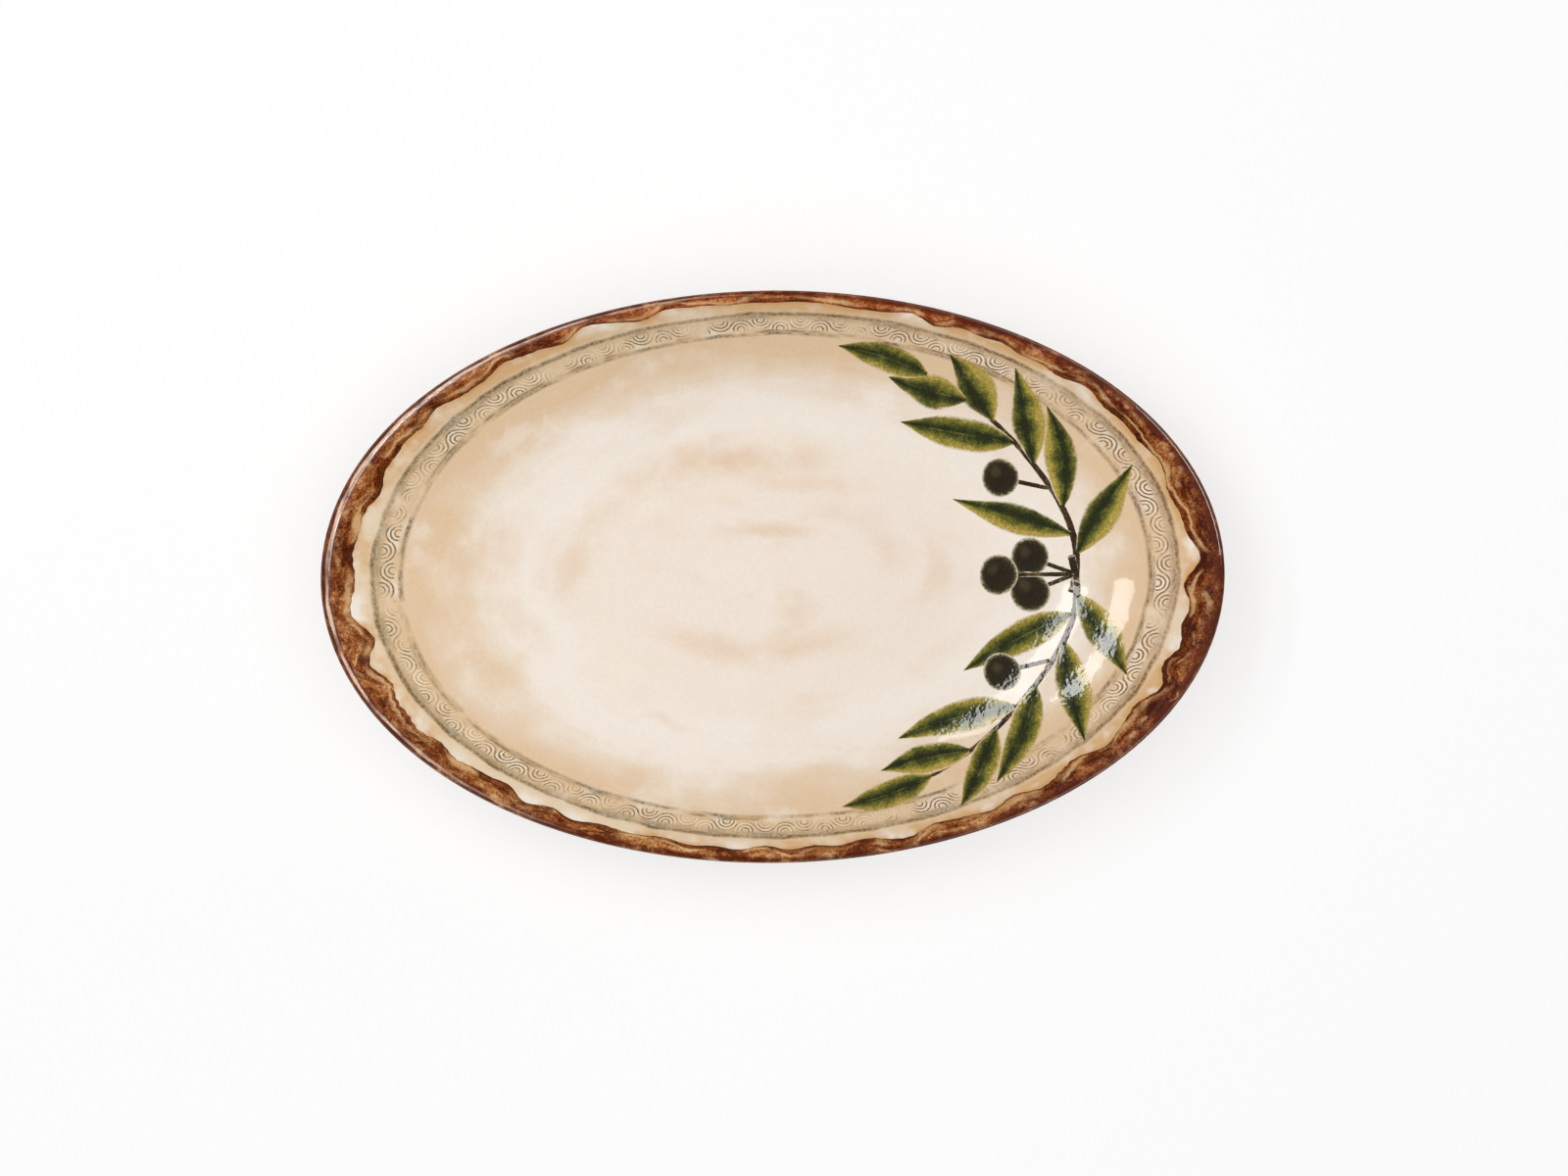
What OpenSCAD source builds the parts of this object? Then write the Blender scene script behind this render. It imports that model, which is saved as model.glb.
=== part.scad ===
// Oval glazed stoneware serving dish: a pressed clay body with a bare foot ring, a pale glaze
// on its face, a brown glaze round its lip and a plain glaze underneath.
// Millimetres, +Z up. The origin is the centre of the oval, on the table that the foot stands on.
// +X runs along the dish and +Y across it. Every cross-section size is measured across the dish:
// the oval is a round bowl of the dish's width, stretched along X.

/* [Overall] */
// Length of the finished dish over its lip
dish_length = 240; // [200:1:300]
// Width of the finished dish over its lip
dish_width = 152; // [130:1:190]
// Height of the finished dish, from the table to the top of the lip
dish_height = 30; // [26:1:40]

/* [Bowl] */
// Width of the flat floor of the well
floor_width = 56; // [40:1:76]
// Thickness of the floor with its glaze
floor_thickness = 5.6; // [4.5:0.1:7]
// Thickness of the rounded lip with its glaze
lip_thickness = 3.6; // [3:0.1:5]

/* [Foot ring] */
// Width of the foot ring over its outside
foot_width = 92; // [84:1:104]
// Thickness of the foot ring
foot_thickness = 4.8; // [4:0.1:7]
// Size of the bevel along each edge of the standing face
foot_bevel = 0.8; // [0.4:0.1:1.2]
// Height of the glazed base above the table
foot_height = 3.2; // [2.4:0.1:5]

/* [Glaze] */
// Thickness of every glaze coat
glaze_thickness = 0.4; // [0.2:0.05:0.8]
// Width of the brown glaze on the face, from the lip's outside
rim_band = 4.6; // [4:0.1:8]
// How far the brown glaze comes down the back, below the top of the lip
rim_drop = 6; // [4:0.1:10]

/* [Hidden] */

// How far the foot is drawn below the table before it is cut level
overrun = 0.5;
// Steps that a wall's arc, the lip's round and the short arcs beside the lip are drawn in
wall_steps = 10;
lip_steps = 8;
edge_steps = 3;
// Steps that a full turn is drawn in, and the sectors that the oval is turned in
turn_steps = 96;
sectors = 4;
sector_angle = 360 / sectors;

// The oval's stretch along X
stretch = dish_length / dish_width;

// Centre of the lip's round, as distance from the axis and height
lip_r = lip_thickness / 2;
lip_at = [dish_width / 2 - lip_r, dish_height - lip_r];

// The face of the bowl is one arc, level where it leaves the floor and touching the lip's round
floor_y = floor_width / 2;
floor_z = foot_height + floor_thickness;
face_run = lip_at - [floor_y, floor_z];
face_r = (face_run * face_run - lip_r * lip_r) / (2 * (face_run[1] + lip_r));
face_at = [floor_y, floor_z + face_r];
face_end = atan2(lip_at[1] - face_at[1], lip_at[0] - face_at[0]);

// The back of the bowl is another arc, level where it leaves the base and touching the same round
back_run = lip_at - [floor_y, foot_height];
back_r = (back_run * back_run - lip_r * lip_r) / (2 * (back_run[1] - lip_r));
back_at = [floor_y, foot_height + back_r];
back_end = atan2(lip_at[1] - back_at[1], lip_at[0] - back_at[0]);

// The foot ring's outside and inside
foot_out = foot_width / 2;
foot_in = foot_out - foot_thickness;

// Where the brown glaze stops, as angles on the face's arc and on the back's arc
rim_face_angle = -acos((dish_width / 2 - rim_band - floor_y) / face_r);
rim_back_angle = asin((dish_height - rim_drop - back_at[1]) / back_r);

// Points on an arc from one angle to another
function arc(centre, radius, from, to, steps) = [
    for (i = [0 : steps])
        let (a = from + (to - from) * i / steps)
            centre + radius * [cos(a), sin(a)]
];

// Lists the points of a line from its other end
function turned_round(points) = [for (i = [len(points) - 1 : -1 : 0]) points[i]];

// The angle on the back's arc, depth inside the finished surface, at a distance from the axis
function back_angle(y, depth) = -acos((y - floor_y) / (back_r - depth));

// Lines of the cross-section at a depth inside the finished surface, from the axis out along the face,
// round the lip and back along the underside
function face_line(depth) = concat(
    [[0, floor_z - depth]],
    arc(face_at, face_r + depth, -90, rim_face_angle, wall_steps)
);
function rim_line(depth) = concat(
    arc(face_at, face_r + depth, rim_face_angle, face_end, edge_steps),
    arc(lip_at, lip_r - depth, face_end + 180, back_end, lip_steps),
    arc(back_at, back_r - depth, back_end, rim_back_angle, edge_steps)
);
function back_line(depth) =
    arc(back_at, back_r - depth, rim_back_angle, back_angle(foot_out, depth), wall_steps);
function base_line(depth) = concat(
    arc(back_at, back_r - depth, back_angle(foot_in, depth), -90, wall_steps),
    [[0, foot_height + depth]]
);

// The foot ring's line, from its outside to its inside
foot_line = [
    [foot_out, foot_bevel],
    [foot_out - foot_bevel - overrun, -overrun],
    [foot_in + foot_bevel + overrun, -overrun],
    [foot_in, foot_bevel]
];

// Turns a half cross-section into an oval solid
module oval(section) {
    for (i = [0 : sectors - 1])
        scale([stretch, 1, 1])
            rotate([0, 0, i * sector_angle])
                rotate_extrude(angle = sector_angle, $fn = turn_steps)
                    polygon(section);
}

// The room below the table
module under_table() {
    translate([-dish_length / 2, -dish_width / 2, -dish_height])
        cube([dish_length, dish_width, dish_height]);
}

// The pressed clay: bowl and foot ring in one piece
module clay_body() {
    color("Tan")
        difference() {
            oval(concat(
                face_line(glaze_thickness),
                rim_line(glaze_thickness),
                back_line(glaze_thickness),
                foot_line,
                base_line(glaze_thickness)
            ));
            under_table();
        }
}

// Pale glaze over the floor and wall of the well, up to the brown glaze
module face_glaze() {
    color("Linen")
        oval(concat(face_line(0), turned_round(face_line(glaze_thickness))));
}

// Brown glaze over the lip and down both sides of it
module rim_glaze() {
    color("SaddleBrown")
        oval(concat(rim_line(0), turned_round(rim_line(glaze_thickness))));
}

// Plain glaze on the back, from the brown glaze down to the foot ring
module back_glaze() {
    color("BurlyWood")
        oval(concat(back_line(0), turned_round(back_line(glaze_thickness))));
}

// Plain glaze on the base, inside the foot ring
module base_glaze() {
    color("BurlyWood")
        oval(concat(base_line(0), turned_round(base_line(glaze_thickness))));
}

clay_body();
face_glaze();
rim_glaze();
back_glaze();
base_glaze();
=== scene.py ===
"""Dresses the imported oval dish: glaze coats, painted border, painted garland and bare foot."""

import logging
import math
from dataclasses import dataclass, field
from enum import Enum
from typing import Any, Mapping, Optional, Sequence, Union

import bpy
import numpy as np
from mathutils import Matrix, Vector


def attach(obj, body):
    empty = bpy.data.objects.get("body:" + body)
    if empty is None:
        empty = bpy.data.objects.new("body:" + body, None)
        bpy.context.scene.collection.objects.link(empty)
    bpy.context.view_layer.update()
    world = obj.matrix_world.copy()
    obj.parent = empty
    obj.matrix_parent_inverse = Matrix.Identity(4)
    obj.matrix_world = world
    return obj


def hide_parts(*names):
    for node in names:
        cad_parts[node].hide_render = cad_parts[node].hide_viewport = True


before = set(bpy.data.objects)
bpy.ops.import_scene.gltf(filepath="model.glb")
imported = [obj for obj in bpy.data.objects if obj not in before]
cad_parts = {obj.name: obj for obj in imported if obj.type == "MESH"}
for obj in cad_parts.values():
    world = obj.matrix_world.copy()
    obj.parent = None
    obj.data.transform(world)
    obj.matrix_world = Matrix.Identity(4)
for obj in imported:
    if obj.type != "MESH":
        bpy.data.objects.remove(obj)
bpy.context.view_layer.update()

log = logging.getLogger("dish")

MM = 0.001
ROOT = "root"
TURN = 2.0 * math.pi
# The two values that most of a noise lies between
MOST = (0.3, 0.7)

Socket = bpy.types.NodeSocket
Value = Union[Socket, float, str, Sequence[float]]
Vec3 = tuple[float, float, float]
Fields = Mapping[str, Sequence[np.ndarray]]


# --- shader nodes ---


@dataclass(frozen=True)
class Kind:
    """A kind of shader node: its name, its settings, the inputs that values go to and the output in use."""

    name: str
    settings: Mapping[str, Any] = field(default_factory=dict)
    inputs: Sequence[Union[int, str]] = range(8)
    out: Union[int, str] = 0


TIMES, PLUS, MINUS, TIMES_PLUS, SIZE = (
    Kind("Math", {"operation": name}) for name in ("MULTIPLY", "ADD", "SUBTRACT", "MULTIPLY_ADD", "ABSOLUTE")
)
MORE, LESS, MODULO, FRACTION, ABOVE = (
    Kind("Math", {"operation": name}) for name in ("MAXIMUM", "MINIMUM", "MODULO", "FRACT", "GREATER_THAN")
)
LENGTH, DOT, DISTANCE = (
    Kind("VectorMath", {"operation": name}, out="Value") for name in ("LENGTH", "DOT_PRODUCT", "DISTANCE")
)
UNIT = Kind("VectorMath", {"operation": "NORMALIZE"})
SUM = Kind("VectorMath", {"operation": "ADD"})
SCALED = Kind("VectorMath", {"operation": "SCALE"}, (0, "Scale"))
RANGE = Kind("MapRange")
SOFT = Kind("MapRange", {"interpolation_type": "SMOOTHSTEP"})
OPEN = Kind("MapRange", {"clamp": False})
# The colour Mix node keeps its three kinds of value in one list of sockets
OVER = Kind("Mix", {"data_type": "RGBA"}, (0, 6, 7), 2)
SHADE = Kind("Mix", {"data_type": "RGBA", "blend_type": "MULTIPLY"}, (0, 6, 7), 2)
RAMP = Kind("ValToRGB")
NOISE = Kind("TexNoise", inputs=("Vector", "Scale", "Detail", "Roughness", "Distortion"))
MAPPING = Kind("Mapping", inputs=("Vector", "Scale"))
OBJECT = Kind("TexCoord", out="Object")
SEPARATE = Kind("SeparateXYZ")
COMBINE = Kind("CombineXYZ")
ATTRIBUTE = Kind("Attribute", out="Fac")
UV_MAP = Kind("UVMap", out="UV")
BUMP = Kind("Bump", inputs=("Strength", "Distance", "Height"))
PRINCIPLED = Kind("BsdfPrincipled", inputs=("Base Color", "Roughness", "Normal", "IOR", "Specular IOR Level"))
DIFFUSE = Kind("BsdfDiffuse")
EMISSION = Kind("Emission")
SHADER_MIX = Kind("MixShader")
LIGHT_PATH = Kind("LightPath")
OUTPUT = Kind("OutputMaterial")


def linear(code: str) -> tuple[float, ...]:
    """Turns an sRGB hex colour into linear red, green, blue and full alpha.

    Args:
        code: six hex digits, such as "efe2d4".

    Returns:
        The colour as Blender's shader sockets take it.
    """
    parts = [int(code[i : i + 2], 16) / 255.0 for i in (0, 2, 4)]
    low = [c / 12.92 if c <= 0.04045 else ((c + 0.055) / 1.055) ** 2.4 for c in parts]
    return (*low, 1.0)


class Graph:
    """One material's node tree, the one method that adds a node to it, and the patterns that come back."""

    def __init__(self, name: str) -> None:
        """Starts an empty material of that name."""
        self.material = bpy.data.materials.new(name)
        self.material.use_nodes = True
        self.tree = self.material.node_tree
        self.tree.nodes.clear()

    def add(
        self, kind: Kind, values: Sequence[Value] = (), stops: Sequence[tuple[float, str]] = (), **settings: Any
    ) -> Socket:
        """Adds a node, sets it up and links it.

        Args:
            kind: what it is.
            values: sockets to link, or numbers, vectors or hex colours to set, in the order of its inputs.
            stops: places and hex colours of a colour ramp, in order.
            **settings: further properties of the node.

        Returns:
            The output in use, or the node's first input where it has no output.
        """
        node = self.tree.nodes.new("ShaderNode" + kind.name)
        for key, value in {**kind.settings, **settings}.items():
            setattr(node, key, value)
        for number, (place, code) in enumerate(stops):
            made = node.color_ramp.elements
            stop = made[number] if number < 2 else made.new(place)
            stop.position, stop.color = place, linear(code)
        for key, value in zip(kind.inputs, values):
            if isinstance(value, Socket):
                self.tree.links.new(value, node.inputs[key])
            else:
                node.inputs[key].default_value = linear(value) if isinstance(value, str) else value
        return node.outputs[kind.out] if len(node.outputs) else node.inputs[0]

    def swayed(self, value: Socket, *noises: tuple[Socket, float]) -> Socket:
        """Moves a value to and fro.

        Args:
            value: what is moved.
            *noises: each noise that moves it, and how far.

        Returns:
            The moved value.
        """
        for noise, swing in noises:
            value = self.add(PLUS, [value, self.add(OPEN, [noise, *MOST, -swing, swing])])
        return value

    def apart(self, value: Socket, middle: Value) -> Socket:
        """How far a value lies from a middle one, to either side."""
        return self.add(SIZE, [self.add(MINUS, [value, middle])])

    def thinned(self, mark: Socket, *gates: Union[Socket, Sequence[Value]]) -> Socket:
        """Multiplies the strength of a mark by gates.

        Args:
            mark: the strength.
            *gates: each a socket, or a value, the two ends of its range and what the gate is at each.

        Returns:
            What is left of the mark.
        """
        for gate in gates:
            mark = self.add(TIMES, [mark, gate if isinstance(gate, Socket) else self.add(RANGE, gate)])
        return mark

    def grained(self, colour: Socket, noise: Socket, least: float, most: float) -> Socket:
        """Darkens and lightens a colour with a noise, between two factors."""
        shade = self.add(RANGE, [noise, *MOST, least, most])
        return self.add(SHADE, [1.0, colour, self.add(COMBINE, [shade, shade, shade])])

    def close(
        self, colour: Socket, roughness: Value, normal: Socket, ior: float, level: Value = 0.5
    ) -> bpy.types.Material:
        """Ends the tree in a Principled shader.

        Args:
            colour: the base colour.
            roughness: a number, or a socket where it varies.
            normal: the bumped normal.
            ior: refractive index of the surface.
            level: strength of the reflection, 0.5 for what that index gives.

        Returns:
            The finished material.
        """
        self.add(OUTPUT, [self.add(PRINCIPLED, [colour, roughness, normal, ior, level])])
        return self.material


# --- the dish's form ---


@dataclass(frozen=True)
class Section:
    """Cross-section across the dish, in metres, as the solids have it.

    The face is a level floor and one arc that leaves it level and touches the round of the lip.
    The back is another arc that touches the same round from outside and runs level into the base.
    """

    half_length: float = 120 * MM
    half_width: float = 76 * MM
    height: float = 30 * MM
    floor_half: float = 28 * MM
    floor_z: float = 8.8 * MM
    base_z: float = 3.2 * MM
    lip_r: float = 1.8 * MM
    foot_out: float = 46 * MM
    foot_in: float = 41.2 * MM
    foot_round: float = 0.9 * MM
    glaze: float = 0.4 * MM

    @property
    def stretch(self) -> float:
        """How much longer the oval is than it is wide."""
        return self.half_length / self.half_width

    @property
    def to_shares(self) -> Vec3:
        """The scale that turns a place seen from above into shares of the oval."""
        return (1 / self.half_length, 1 / self.half_width, 0.0)


class Line:
    """The finished surface's line in cross-section, with a run measured along it from the axis."""

    ARC_POINTS, LIP_POINTS, FLAT_POINTS = 240, 160, 60

    def __init__(self, section: Section) -> None:
        """Draws the line: floor, face arc, round of the lip, back arc and base, as one fine polyline.

        An arc's points are centre + radius (cos a, sin a); its outward normal is that direction,
        turned inwards on the hollow face.
        """
        s = section
        lip = np.array([s.half_width - s.lip_r, s.height - s.lip_r])
        across, up = lip[0] - s.floor_half, lip[1] - s.floor_z
        face_r = (across**2 + up**2 - s.lip_r**2) / (2 * (up + s.lip_r))
        face = np.array([s.floor_half, s.floor_z + face_r])
        face_end = math.atan2(lip[1] - face[1], across)
        up = lip[1] - s.base_z
        back_r = (across**2 + up**2 - s.lip_r**2) / (2 * (up - s.lip_r))
        back = np.array([s.floor_half, s.base_z + back_r])
        back_end = math.atan2(lip[1] - back[1], across)
        down = -math.pi / 2
        parts, normals = [], []
        for centre, radius, start, end, count, sign in (
            (face, face_r, down, face_end, self.ARC_POINTS, -1.0),
            (lip, s.lip_r, face_end + math.pi, back_end, self.LIP_POINTS, 1.0),
            (back, back_r, back_end, down, self.ARC_POINTS, 1.0),
        ):
            a = np.linspace(start, end, count)
            way = np.stack([np.cos(a), np.sin(a)], axis=1)
            parts.append(centre + radius * way)
            normals.append(sign * way)
        flat = np.linspace(0.0, 1.0, self.FLAT_POINTS)[:-1, None] * np.array([[s.floor_half, 0.0]])
        floor = np.array([[0.0, s.floor_z]]) + flat
        base = np.concatenate([np.array([[s.floor_half, s.base_z]]) - flat[1:], [[0.0, s.base_z]]])
        level = [np.tile([[0.0, up]], (len(flat), 1)) for up in (1.0, -1.0)]
        self.points = np.concatenate([floor, *parts, base])
        self.normals = np.concatenate([level[0], *normals, level[1]])
        self.run = np.concatenate([[0.0], np.cumsum(np.hypot(*np.diff(self.points, axis=0).T))])
        self.widest = int(np.argmax(self.points[:, 0]))
        self.crest = float(self.run[np.argmax(self.points[:, 1])])

    def at(self, run: np.ndarray, depth: Union[float, np.ndarray] = 0.0) -> tuple[np.ndarray, np.ndarray]:
        """Distance from the axis and height at a run along the line.

        Args:
            run: how far along the line, in metres.
            depth: how far inside the finished surface, along its normal.

        Returns:
            Distance from the axis across the dish, and height.
        """
        columns = (*self.points.T, *self.normals.T)
        y, z, ny, nz = (np.interp(run, self.run, column) for column in columns)
        return np.maximum(y - depth * ny, 0.0), z - depth * nz

    def run_on_face(self, y: np.ndarray) -> np.ndarray:
        """The run where the face, up to the widest point, is y from the axis."""
        upper = slice(0, self.widest + 1)
        return np.interp(y, self.points[upper, 0], self.run[upper])

    def run_on_back(self, value: Union[float, np.ndarray], axis: int = 0) -> np.ndarray:
        """The run on the back, below the widest point, at a distance from the axis or, for axis 1, a height."""
        under = slice(self.widest, None)
        return np.interp(value, self.points[under, axis][::-1], self.run[under][::-1])


class Oval:
    """Places points of the cross-section round the oval, with the small sway of hand finishing."""

    # The lip is a little squarer than an ellipse and sways by a fraction of a millimetre
    SQUARENESS = 0.0016
    SWAY = 0.16 * MM
    GIRTH_STEPS = 4000

    def __init__(self, section: Section) -> None:
        """Works out the share of the way round for each angle, from the oval's arc length."""
        self.section = section
        self.line = Line(section)
        t = self.angles(self.GIRTH_STEPS)
        speed = np.hypot(section.half_length * np.sin(t), section.half_width * np.cos(t))
        grown = np.concatenate([[0.0], np.cumsum((speed[1:] + speed[:-1]) / 2)])
        self._t, self._share = t, grown / grown[-1]
        self.girth = float(grown[-1] * (t[1] - t[0]))

    def angles(self, columns: int) -> np.ndarray:
        """Angles of that many columns and the first one again, from the -X end round to it."""
        return np.linspace(-math.pi, math.pi, columns + 1)

    def share(self, t: np.ndarray) -> np.ndarray:
        """Share of the way round the oval, 0 to 1 from the -X end, at an angle from -pi to pi."""
        return np.interp(t, self._t, self._share)

    def place(self, t: np.ndarray, y: np.ndarray, z: np.ndarray) -> np.ndarray:
        """Points in the dish's frame.

        The plan point is (stretch y cos t, y sin t). Both it and the height get a slow wave round the
        oval that grows with the square of the distance beyond the foot, so the foot stays flat.

        Args:
            t: angle round the oval.
            y: distance from the axis across the dish.
            z: height.

        Returns:
            An array of points, its last axis x, y, z.
        """
        start = self.section.foot_out
        grip = np.clip((y - start) / (self.section.half_width - start), 0.0, None) ** 2
        grow = 1.0 - grip * self.SQUARENESS * np.cos(4 * t)
        lift = grip * self.SWAY * (0.7 * np.sin(2 * t + 0.8) + 0.4 * np.sin(3 * t + 2.3))
        x = y * self.section.stretch * np.cos(t) * grow
        return np.stack(np.broadcast_arrays(x, y * np.sin(t) * grow, z + lift), axis=-1)

    def polar(self, plan: np.ndarray) -> tuple[np.ndarray, np.ndarray]:
        """Angle and distance from the axis, across the dish, of points seen from above."""
        x, y = plan[..., 0] / self.section.stretch, plan[..., 1]
        return np.arctan2(y, x), np.hypot(x, y)

    def on_face(self, plan: np.ndarray, lift: float) -> np.ndarray:
        """Lays points seen from above, last axis x and y, on the face, lifted by that height."""
        t, y = self.polar(plan)
        return self.place(t, y, self.line.at(self.line.run_on_face(y))[1] + lift)

    def shell(
        self, name: str, t: np.ndarray, layers: Sequence[tuple[np.ndarray, Any]], **options: Any
    ) -> bpy.types.Object:
        """Makes a coat of glaze: rows along its outside and back along its inside, or the other way.

        Args:
            name: the piece's name.
            t: angles of its columns, with the first one again at the end.
            layers: for each side, the runs of its rows and how deep they lie inside the finished surface.
            **options: poles, charts and marks, as surface() takes them.

        Returns:
            The piece.
        """
        grid = np.concatenate([self.place(t, *self.line.at(run, depth)) for run, depth in layers])
        return surface(name, [grid[:, :-1]], **options)


def ripple(
    share: np.ndarray,
    seed: int,
    waves: tuple[int, int],
    count: int = 14,
    along: Union[float, np.ndarray] = 0.0,
    spacing: float = 0.0,
) -> np.ndarray:
    """A smooth irregular wave that closes on itself round the oval.

    It is a sum of cosines with whole numbers of waves round the oval, each with a seeded phase
    and a seeded drift along the section.

    Args:
        share: share of the way round.
        seed: of the random draws.
        waves: least and greatest number of waves round the oval.
        count: how many cosines.
        along: distance along the section.
        spacing: least wavelength along the section, or 0 for none.

    Returns:
        Values of about -1 to 1.
    """
    draw = np.random.default_rng(seed)
    turns = draw.integers(waves[0], waves[1] + 1, count)
    phases = draw.uniform(0.0, TURN, count)
    drifts = draw.uniform(-1.0, 1.0, count) / spacing if spacing else np.zeros(count)
    waved = (np.cos(TURN * (n * share + d * along) + p) for n, d, p in zip(turns, drifts, phases))
    return sum(waved) / math.sqrt(2.0 * count)


def corners(grid: np.ndarray) -> np.ndarray:
    """The four corners of each cell of a grid, in the order that points outwards."""
    return np.stack([grid[:-1, :-1], grid[1:, :-1], grid[1:, 1:], grid[:-1, 1:]], axis=2)


def surface(
    name: str,
    grids: Sequence[np.ndarray],
    poles: bool = False,
    charts: Optional[Fields] = None,
    marks: Optional[Fields] = None,
    sharp: float = 50.0,
) -> bpy.types.Object:
    """Makes one object from closed grids of points.

    Each grid's columns close on themselves. Its rows close too, as on a ring, or end in a pole at
    each end, where the row's points are drawn into their mean. A face joins (row, column) with the
    next row and the next column, in the order that points outwards.

    Args:
        name: the object's name.
        grids: arrays of rows by columns by 3.
        poles: whether the rows end in poles.
        charts: UV maps by name, for grids with poles; one array of rows by columns + 1 by 2 to a grid.
        marks: point attributes by name, each one array of rows by columns to a grid.
        sharp: angle in degrees above which an edge is sharp.

    Returns:
        The object, linked to the scene.
    """
    charts, marks = charts or {}, marks or {}
    points, loops, sizes, start = [], [], [], 0
    laid: dict[str, list[np.ndarray]] = {key: [] for key in charts}
    kept: dict[str, list[np.ndarray]] = {key: [] for key in marks}
    for index, grid in enumerate(grids):
        columns = grid.shape[1]
        body = grid[1:-1] if poles else grid
        number = np.arange(body.shape[0] * columns).reshape(-1, columns) + start
        start += number.size
        ring = number if poles else np.concatenate([number, number[:1]])
        near = np.concatenate([ring, ring[:, :1]], axis=1)
        loops.append(corners(near).reshape(-1))
        sizes.append(np.full((near.shape[0] - 1) * columns, 4))
        points.append(body.reshape(-1, 3))
        for row in (near[0], near[-1][::-1]) if poles else ():
            loops.append(np.stack([np.full(columns, start), row[:-1], row[1:]], axis=-1).reshape(-1))
            sizes.append(np.full(columns, 3))
            start += 1
        if poles:
            points.append(np.stack([grid[0].mean(axis=0), grid[-1].mean(axis=0)]))
        for key, maps in charts.items():
            chart, lay = maps[index], maps[index][1:-1]
            laid[key].append(corners(lay).reshape(-1, 2))
            for tip, row in ((chart[0, :-1], lay[0]), (chart[-1, :-1][::-1], lay[-1][::-1])):
                laid[key].append(np.stack([tip, row[:-1], row[1:]], axis=-2).reshape(-1, 2))
        for key, values in marks.items():
            value = values[index]
            kept[key].append((value[1:-1] if poles else value).reshape(-1))
            if poles:
                kept[key].append(np.array([value[0].mean(), value[-1].mean()]))
    mesh = bpy.data.meshes.new(name)
    flat, size = np.concatenate(loops), np.concatenate(sizes)
    mesh.vertices.add(start)
    mesh.vertices.foreach_set("co", np.concatenate(points).astype(np.float32).ravel())
    mesh.loops.add(flat.size)
    mesh.loops.foreach_set("vertex_index", flat.astype(np.int32))
    mesh.polygons.add(size.size)
    mesh.polygons.foreach_set("loop_start", (np.cumsum(size) - size).astype(np.int32))
    mesh.update(calc_edges=True)
    for key, parts in laid.items():
        layer = mesh.uv_layers.new(name=key)
        layer.data.foreach_set("uv", np.concatenate(parts).astype(np.float32).ravel())
    for key, parts in kept.items():
        mark = mesh.attributes.new(key, "FLOAT", "POINT")
        mark.data.foreach_set("value", np.concatenate(parts).astype(np.float32))
    mesh.shade_smooth()
    mesh.set_sharp_from_angle(angle=math.radians(sharp))
    mesh.validate()
    obj = bpy.data.objects.new(name, mesh)
    bpy.context.scene.collection.objects.link(obj)
    return obj


def dress(obj: bpy.types.Object, material: bpy.types.Material, node: str = "") -> None:
    """Gives a piece its material and its body, and hides the CAD node that it stands for.

    Args:
        obj: the piece.
        material: its finish.
        node: the CAD node it stands for, where it stands for one.
    """
    obj.data.materials.append(material)
    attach(obj, ROOT)
    if node:
        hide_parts(node)
    log.info("%s: %d faces", obj.name, len(obj.data.polygons))


# --- finishes ---


@dataclass(frozen=True)
class Peel:
    """The slight orange peel of a brushed and fired glaze, as a bump of broad noise and a share of finer."""

    wave: float = 6.0 * MM
    depth: float = 0.05 * MM
    fine_wave: float = 1.6 * MM
    fine_share: float = 0.12

    def normal(self, g: Graph, place: Socket, strength: Value = 1.0) -> Socket:
        """Adds the bump.

        Args:
            g: the material.
            place: Object coordinates.
            strength: how much of the bump is kept.

        Returns:
            The bumped normal.
        """
        broad = g.add(NOISE, [place, 1 / self.wave, 1.0])
        fine = g.add(NOISE, [place, 1 / self.fine_wave, 2.0])
        return g.add(BUMP, [strength, self.depth, g.add(TIMES_PLUS, [fine, self.fine_share, broad])])


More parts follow.
